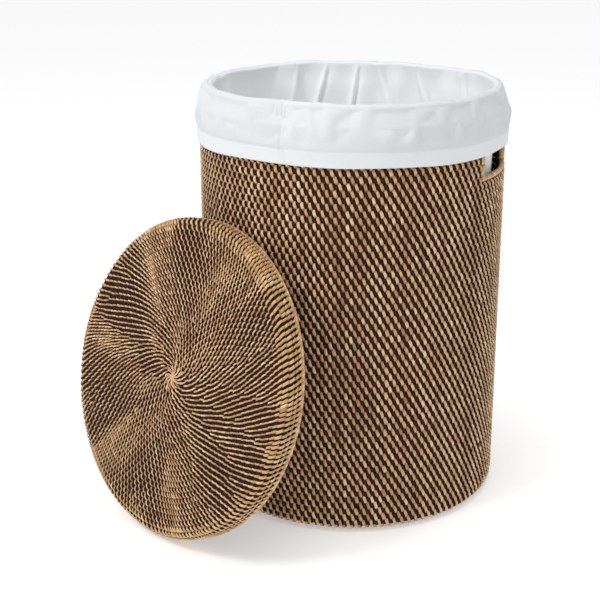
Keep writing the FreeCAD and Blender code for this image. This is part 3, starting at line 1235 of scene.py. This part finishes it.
@dataclass
class Liner:
    """The cotton bag, turned down over the rim in a cuff with a stitched hem."""

    maker: Maker
    around_count: int = 560
    cloth: float = 0.0011
    hem_height: float = 0.0205
    seam_angle: float = math.radians(-95.5)
    foot: float = 0.02
    bag_ease: float = 0.0012
    fold_ease: float = 0.0008
    hem_room: float = 0.0021
    cuff_room: float = 0.0040
    fine_from: float = 0.40

    def __post_init__(self) -> None:
        """Read the bag's, rim's and cuff's places from the frame."""
        rim_low, rim_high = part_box("rim_hoop")
        self.bag_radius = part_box("liner_bag")[1].x - self.bag_ease
        self.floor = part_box("liner_bottom")[0].z + 0.0008
        self.rim_axis = (rim_low.z + rim_high.z) / 2
        self.rim_radius = rim_high.x - (rim_high.z - rim_low.z) / 2
        self.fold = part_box("liner_fold")[1].z - self.rim_axis - self.fold_ease
        self.wall_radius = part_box("wall_weave")[1].x
        self.hem_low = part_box("liner_hem")[0].z

    def profile(self) -> tuple[Array, Array, Array]:
        """Radius, height and distance of the cloth's middle line from bag floor to hem.

        The bag rises with a rounded foot, half a circle goes over the rim rod,
        and the cuff hangs outwards to the top of its hem and turns in below it.
        """
        turn = np.linspace(0, math.pi / 2, 6)
        foot_r = self.bag_radius - self.foot + self.foot * np.sin(turn)
        foot_z = self.floor + self.foot - self.foot * np.cos(turn)
        coarse = np.linspace(foot_z[-1], self.fine_from, 16)[1:]
        rise = np.concatenate([coarse, np.linspace(self.fine_from, self.rim_axis, 44)[1:]])
        over = np.linspace(math.pi, 0, 13)[1:-1]
        fold_r = self.rim_radius + self.fold * np.cos(over)
        fold_z = self.rim_axis + self.fold * np.sin(over)
        down = np.linspace(self.rim_axis, self.hem_low, 46)
        share = (self.rim_axis - down) / (self.rim_axis - self.hem_low)
        start = self.rim_radius + self.fold
        full, tight = self.wall_radius + self.cuff_room, self.wall_radius + self.hem_room
        shape = {
            0.0: start,
            0.12: start + 0.0030,
            0.28: start + 0.0066,
            0.45: full - 0.0009,
            0.60: full + 0.0002,
            0.69: full - 0.0002,
            0.80: tight + 0.0008,
            1.0: tight,
        }
        cuff_r = np.interp(share, list(shape), list(shape.values()))
        for _ in range(6):
            cuff_r[1:-1] = 0.5 * cuff_r[1:-1] + 0.25 * (cuff_r[2:] + cuff_r[:-2])
        radius = np.concatenate([foot_r, np.full(len(rise), self.bag_radius), fold_r, cuff_r])
        height = np.concatenate([foot_z, rise, fold_z, down])
        self.top_row = len(foot_r) + len(rise) + len(fold_r) // 2
        return radius, height, travelled(np.stack([radius, height], -1))

    def creases(self) -> list[Crease]:
        """The cloth's creases: long ones inside, short gathers under the rim outside."""
        back = math.radians(109)
        found = [
            Crease(back + 0.72, 0.012, 0.0030, -0.20, -0.004, 0.10, 0.3),
            Crease(back + 0.42, 0.006, 0.0034, -0.14, -0.004, -0.24, 0.8),
            Crease(back + 0.19, 0.0045, 0.0040, -0.20, -0.003, -0.30, 0.85),
            Crease(back - 0.05, 0.0042, 0.0042, -0.34, -0.003, -0.14, 0.9),
            Crease(back - 0.20, 0.0045, 0.0034, -0.16, -0.002, 0.30, 0.85),
            Crease(back - 0.52, 0.0046, 0.0036, -0.16, -0.002, 0.32, 0.85),
            Crease(back - 0.98, 0.0060, 0.0026, -0.20, 0.006, 0.16, 0.85),
            Crease(back + 1.42, 0.0075, 0.0034, -0.12, 0.026, 0.30, 0.75),
            Crease(back + 1.30, 0.0060, 0.0026, -0.16, 0.016, -0.22, 0.7),
            Crease(self.seam_angle + 0.003, 0.0016, 0.0012, 0.004, 0.09, 0.0, 0.9, 0.004),
        ]
        for degrees, width, height, start, end, drift in (
            (-96, 0.0035, 0.0011, -0.004, 0.030, 0.10),
            (-98.6, 0.0028, 0.0012, -0.006, 0.024, -0.06),
            (-83, 0.0030, 0.0013, -0.006, 0.028, 0.12),
            (-80.5, 0.0026, 0.0010, -0.004, 0.020, 0.0),
        ):
            angle = math.radians(degrees)
            found.append(Crease(angle, width, height, start, end, drift, 0.7, 0.008))
        rng = np.random.default_rng(12)
        for angle in TURN * (np.arange(13) + 0.6 * rng.random(13)) / 13:
            least, most = (0.10, 0.008, 0.001, -0.2), (0.42, 0.02, 0.003, 0.2)
            length, width, height, drift = rng.uniform(least, most)
            found.append(Crease(float(angle), width, height, -length, -0.004, drift, 0.3))
        for angle in TURN * (np.arange(24) + 0.8 * rng.random(24)) / 24:
            least, most = (0.012, 0.003, 0.0004, -0.25), (0.045, 0.007, 0.0011, 0.25)
            length, width, height, drift = rng.uniform(least, most)
            found.append(Crease(float(angle), width, height, -0.004, length, drift, 0.6, 0.008))
        return found

    def angles(self) -> Array:
        """Angles round the cloth, closer together at the creases.

        Their density is 1 + the sum of 2 exp(-(distance / 0.1 rad)^2) near sharp creases.
        """
        fine = even_angles(7200)
        density = np.ones(len(fine))
        for crease in self.creases():
            if crease.width < 0.002 or (crease.width < 0.008 and crease.height > 0.003):
                density += 2.0 * np.exp(-((wrap(fine - crease.angle) / 0.10) ** 2))
        total = np.concatenate([[0], np.cumsum(density)])
        wanted = total[-1] * np.arange(self.around_count) / self.around_count
        return np.interp(wanted, total, np.append(fine, TURN))

    def undulation(self, place: Array, angle: Array) -> Array:
        """Soft unevenness of the cloth, (places, angles): plane waves of many lengths.

        Inside the waves run long and upright; outside they are shorter and slanted.
        """
        rng = np.random.default_rng(5)
        total = np.zeros((len(place), len(angle)))
        inside = np.clip(-place / 0.04, 0, 1)[:, None]
        outside = (np.clip(place / 0.014, 0, 1) * np.clip((0.060 - place) / 0.02, 0.12, 1))[:, None]
        for wave in range(2, 30):
            first, second = rng.uniform(0, TURN, 2)
            lean = rng.uniform(-6, 6)
            upright = np.sin(wave * angle[None, :] + first + lean * place[:, None])
            total += inside * 0.0042 / (1 + 0.35 * wave) * upright
            steep = rng.uniform(-110, 110)
            slanted = np.sin(2.3 * wave * angle[None, :] + second + steep * place[:, None])
            total += outside * 0.0016 / (1 + 0.16 * wave) * slanted
        return total

    def surface(self) -> tuple[Array, Array, Array]:
        """Points of the cloth (stations, round), its distances and its angles."""
        radius, height, distance = self.profile()
        place = distance - distance[self.top_row]
        angle = self.angles()
        slope_r, slope_z = np.gradient(radius, distance), np.gradient(height, distance)
        push = self.undulation(place, angle)
        for crease in self.creases():
            push += crease.push(place, angle, self.bag_radius)
        groove = np.exp(-(((place - (place[-1] - self.hem_height)) / 0.0013) ** 2))
        push -= 0.0008 * groove[:, None]
        points = around(
            radius[:, None] - push * slope_z[:, None],
            angle[None, :],
            height[:, None] + push * slope_r[:, None],
        )
        rise = 0.0009 * np.sin(3 * angle + 0.4) + 0.0006 * np.sin(8 * angle + 2.0)
        rise = rise + 0.0004 * np.sin(17 * angle + 1.0) + 0.0012
        near_rim = np.exp(-((place / 0.03) ** 2))
        points[..., 2] += near_rim[:, None] * np.maximum(rise, 0.0)[None, :]
        sag = 0.0012 * np.sin(3 * angle + 0.4) + 0.0007 * np.sin(7 * angle + 2.0)
        points[..., 2] += np.clip((place - 0.05) / 0.03, 0, 1)[:, None] * sag[None, :]
        self._clear(points, place)
        return points, distance, angle

    def _clear(self, points: Array, place: Array) -> None:
        """Keep the cuff off the wall and the rim, and the bag off the neck.

        Outside, the radius is at least the wall's plus room for the hem's turning
        below the braid, falling to the rim's above it.
        """
        radius = np.linalg.norm(points[..., :2], axis=-1)
        wall, rim = self.wall_radius, self.rim_axis
        least = np.interp(
            points[..., 2],
            [self.hem_low, self.hem_low + 0.03, rim - 0.020, rim - 0.003],
            [wall + self.hem_room, wall + 0.0016, wall + 0.0014, self.rim_radius + self.fold],
        )
        bag = self.bag_radius
        most = np.interp(points[..., 2], [0.40, 0.50, 0.56], [bag + 0.006, bag + 0.006, bag])
        outside, inside = (place > self.fold)[:, None], (place < -self.fold)[:, None]
        wanted = np.where(outside, np.maximum(radius, least), radius)
        wanted = np.where(inside, np.minimum(wanted, most), wanted)
        points[..., :2] *= (wanted / np.maximum(radius, 1e-6))[..., None]

    @staticmethod
    def _normals(points: Array) -> Array:
        """Normals of the cloth's grid, away from the wall on the cuff."""
        across = np.roll(points, -1, 1) - np.roll(points, 1, 1)
        return unit(np.cross(across, np.gradient(points, axis=0)))

    def cloth_mesh(
        self,
        name: str,
        points: Array,
        distance: Array,
        cloth: float,
        fullness: Values,
    ) -> Mesh:
        """A cloth tube with thickness from a grid of points.

        Each point moves half the thickness to each side along the surface's
        normal, and the two skins are joined along both edges.

        Args:
            name: The mesh's name.
            points: Middle surface, (stations, round, 3), round going anticlockwise.
            distance: Distance of each station along the cloth.
            cloth: Thickness.
            fullness: Painted light seen through the cloth: 0 where single cloth lies on the
            dark wall, 0.5 where it lies double, 1 where it hangs free and is painted backlit;
            (stations, round) or a number.

        Returns:
            The mesh, with a UV map in metres and the attribute fullness.
        """
        stations, count, _ = points.shape
        normal = self._normals(points)
        skins = np.concatenate([points + normal * cloth / 2, points - normal * cloth / 2])
        far = stations * count
        label = np.arange(far).reshape(stations, count)
        ahead = np.roll(label, -1, 1)
        front = np.stack([label[:-1], ahead[:-1], ahead[1:], label[1:]], -1).reshape(-1, 4)
        edge_low = np.stack([label[0] + far, ahead[0] + far, ahead[0], label[0]], -1)
        edge_high = np.stack([label[-1], ahead[-1], ahead[-1] + far, label[-1] + far], -1)
        faces = np.concatenate([front, front[:, ::-1] + far, edge_low, edge_high])
        mesh, _ = build_mesh(name, skins.reshape(-1, 3), [faces])
        widest = np.linalg.norm(points[..., :2], axis=-1).mean()
        turned = np.unwrap(np.arctan2(points[-1, :, 1], points[-1, :, 0]))
        across_cloth = widest * (turned - turned[0])
        flat = np.stack(np.broadcast_arrays(across_cloth[None, :], distance[:, None]), -1)
        corners = np.zeros(len(mesh.loops), np.int32)
        mesh.loops.foreach_get("vertex_index", corners)
        place = np.concatenate([flat.reshape(-1, 2)] * 2)[corners].reshape(-1, 4, 2)
        half = widest * TURN / 2
        crossing = np.ptp(place[..., 0], axis=1) > half
        place[..., 0] += 2 * half * (crossing[:, None] & (place[..., 0] < half))
        share = np.broadcast_to(np.asarray(fullness), (stations, count))
        self._dress(mesh, np.tile(share.ravel(), 2), place)
        return mesh

    @staticmethod
    def _dress(mesh: Mesh, fullness: Values, place: Array) -> None:
        """Give a cotton mesh its fullness, and its UV map from a place for each corner."""
        number(mesh, "fullness", np.broadcast_to(np.asarray(fullness), (len(mesh.vertices),)))
        store = mesh.uv_layers.new(name="UVMap")
        spread = np.broadcast_to(place.reshape(-1, 2), (len(mesh.loops), 2))
        store.data.foreach_set("uv", spread.astype(np.float32).ravel())

    def _place(self, mesh: Mesh, *nodes: str) -> Object:
        """Place a piece of the liner, for the nodes that it stands for."""
        return self.maker.place(mesh, Body.LINER, Slot.COTTON, nodes)

    def build(self) -> None:
        """Make the cloth, its bottom, the hem's turning, the side seam and the stitches."""
        points, distance, angle = self.surface()
        split = self.top_row
        # Fullness paints the light seen through the cloth: brighter on the doubled hem and on the
        # panel beside the seam.
        hem = np.clip((distance - distance[-1] + self.hem_height) / 0.0008, 0, 1) / 2
        from_seam = (angle - self.seam_angle) % TURN
        panel = 0.22 * np.exp(-((from_seam / 0.7) ** 2)) * (from_seam > 0.004)
        cuff_fullness = np.clip(hem[split:, None] + panel[None, :], 0, 0.5)
        cuff_mesh = self.cloth_mesh(
            "liner_cuff_cloth", points[split:], distance[split:], self.cloth, cuff_fullness
        )
        cuff = self._place(cuff_mesh, "liner_fold", "liner_cuff")
        upper = slice(split + 1)
        # Inside the bag the painted backlight grows away from the rim, full from 3 cm below it.
        inside = np.clip((distance[split] - distance[upper]) / 0.030, 0, 1) ** 0.5
        bag_mesh = self.cloth_mesh(
            "liner_bag_cloth",
            points[upper],
            distance[upper],
            self.cloth,
            0.08 + 0.92 * inside[:, None],
        )
        self._place(bag_mesh, "liner_bag")
        self.turning(points, distance)
        self.bottom(points)
        self.stitches(points, distance)
        self.seam(points, distance, angle)

    def turning(self, points: Array, distance: Array) -> None:
        """The hem's inner layer, turned up behind the cuff's lower edge."""
        rows = distance > distance[-1] - self.hem_height
        band = points[rows] - outward(points[rows]) * (self.cloth * 0.95)
        thin = self.cloth * 0.8
        mesh = self.cloth_mesh("liner_hem_turning", band, distance[rows], thin, 0.5)
        self._place(mesh, "liner_hem")

    def bottom(self, points: Array) -> None:
        """The round bottom, lightly puckered towards its sewn edge."""
        edge = points[0]
        share = np.linspace(0.02, 1, 24)[:, None]
        angle = np.arctan2(edge[:, 1], edge[:, 0])
        reach = np.linalg.norm(edge[:, :2], axis=1)
        pucker = 0.0012 * share**6 * (1 + np.sin(37 * angle)[None, :])
        height = edge[:, 2].mean() + pucker * 0.6
        grid = around(share * reach[None, :], angle[None, :], height)
        far = share[:, 0] * reach.mean()
        mesh = self.cloth_mesh("liner_bottom_panel", grid, far, self.cloth, 1.0)
        self._place(mesh, "liner_bottom")

    def stitches(self, points: Array, distance: Array) -> None:
        """The hem's line of stitches, all round: short thread dashes on the cloth."""
        count, fill = 400, 0.7
        row = int(np.argmin(np.abs(distance - (distance[-1] - self.hem_height))))
        loop = np.append(np.arange(self.around_count), 0)
        line, out = points[row][loop], self._normals(points)[row][loop]
        place = travelled(line)
        share = (np.arange(count)[:, None] + fill * np.linspace(0, 1, 4)[None, :]) / count
        normals = unit(read_off(share * place[-1], place, out))
        lift = np.array([0.0, 0.00022, 0.00022, 0.0]) + self.cloth / 2 - 0.0001
        dashes = read_off(share * place[-1], place, line) + normals * lift[None, :, None]
        thread = (0.00032, 0.00026, round_section(5))
        mesh = ribbons("liner_hem_stitches", dashes, normals, *thread)
        self._dress(mesh, 0.5, np.zeros(2))
        self._place(mesh)

    def seam(self, points: Array, distance: Array, angle: Array) -> None:
        """The flat side seam on the cuff: a closed strip, raised along its middle."""
        low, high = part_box("liner_seam")
        facing = math.atan2((low.y + high.y) / 2, (low.x + high.x) / 2)
        column = int(np.argmin(np.abs(angle - facing % TURN)))
        picks = (np.arange(-3, 4) + column) % self.around_count
        cloth = points[self.top_row :][:, picks]
        normal = self._normals(points)[self.top_row :][:, picks]
        share = np.array([0.0, 0.55, 0.8, 0.85, 0.8, 0.55, 0.0]) * 0.0009
        lifted = cloth + normal * (share[None, :, None] + self.cloth / 2)
        sunk = cloth + normal * self.cloth * 0.3
        stations, width = lifted.shape[:2]
        far = stations * width
        label = np.arange(far).reshape(stations, width)
        quads = np.stack([label[:-1, :-1], label[:-1, 1:], label[1:, 1:], label[1:, :-1]], -1)
        quads = quads.reshape(-1, 4)
        loop = np.concatenate([label[0, :], label[1:, -1], label[-1, -2::-1], label[-2:0:-1, 0]])
        after = np.roll(loop, -1)
        skirt = np.stack([loop, loop + far, after + far, after], -1)
        both = np.concatenate([lifted.reshape(-1, 3), sunk.reshape(-1, 3)])
        faces = [np.concatenate([quads, quads[:, ::-1] + far, skirt])]
        mesh, _ = build_mesh("liner_side_seam", both, faces)
        self._dress(mesh, 0.3, np.zeros(2))
        self._place(mesh, "liner_seam")


# ---- Studio ----


@dataclass
class Stage:
    """Floor, lights and camera."""

    distance: float = 1.703
    height: float = 0.8286
    bearing: float = math.radians(19.0)
    pitch: float = math.radians(17.04)
    yaw: float = math.radians(-2.43)
    lens: float = 74.76
    shift: float = -0.0552
    aim: float = 0.3
    sky: float = 0.68
    floor_size: float = 40.0
    floor_height: float = -0.0006

    def _stand(self, name: str, data: ID) -> Object:
        """Put a light or a camera into the scene."""
        piece = bpy.data.objects.new(name, data)
        bpy.context.scene.collection.objects.link(piece)
        return piece

    def camera(self) -> None:
        """Stand the camera before the basket, a little above its rim."""
        data = bpy.data.cameras.new("camera")
        data.lens = self.lens
        data.sensor_width = 36
        data.shift_y = self.shift
        data.clip_end = 50
        piece = self._stand("camera", data)
        across, away = math.sin(self.bearing), math.cos(self.bearing)
        piece.location = (self.distance * across, -self.distance * away, self.height)
        piece.rotation_euler = (math.pi / 2 - self.pitch, 0, self.bearing - self.yaw)
        bpy.context.scene.camera = piece

    def lamp(
        self, name: str, bearing: float, rise: float, far: float, size: float, power: float
    ) -> None:
        """Hang a square soft light facing the basket's middle.

        Args:
            name: The light's name.
            bearing: Its direction from the camera's side, in degrees to the right.
            rise: Its height above the basket's middle, in degrees.
            far: Its distance.
            size: Its side.
            power: Its watts.
        """
        data = bpy.data.lights.new(name, "AREA")
        data.size = size
        data.energy = power
        piece = self._stand(name, data)
        turn = self.bearing + math.radians(bearing)
        lift = math.radians(rise)
        level = far * math.cos(lift)
        height = self.aim + far * math.sin(lift)
        piece.location = (level * math.sin(turn), -level * math.cos(turn), height)
        piece.rotation_euler = (math.pi / 2 - lift, 0, turn)

    def build(self) -> None:
        """Make the floor, the sky light, the lamps and the camera."""
        place = (0, 0, self.floor_height)
        bpy.ops.mesh.primitive_plane_add(size=self.floor_size, location=place)
        floor = bpy.context.object
        floor.name = "floor"
        floor.data.materials.append(Studio().material())
        scene = bpy.context.scene
        scene.world = bpy.data.worlds.new("studio")
        scene.world.use_nodes = True
        background = scene.world.node_tree.nodes["Background"]
        background.inputs[0].default_value = WHITE
        background.inputs[1].default_value = self.sky
        self.lamp("key_light", -55, 44, 2.6, 0.8, 25)
        self.lamp("fill_light", 40, 30, 3.0, 1.8, 4)
        self.lamp("top_light", 0, 82, 2.4, 1.2, 18)
        self.camera()
        scene.view_settings.view_transform = "Standard"


def main() -> None:
    """Build the finishes, the basket, the lid, the liner and the studio."""
    logging.basicConfig(level=logging.INFO, format="%(message)s")
    strip = RattanStrip().material()
    maker = Maker(
        {
            Slot.WEAVE: strip,
            Slot.BINDING: strip,
            Slot.ROD: RattanRod().material(),
            Slot.COTTON: Cotton().material(),
        }
    )
    for part in (Basket, Lid, Liner):
        part(maker).build()
    Stage().build()


if __name__ == "__main__":
    main()
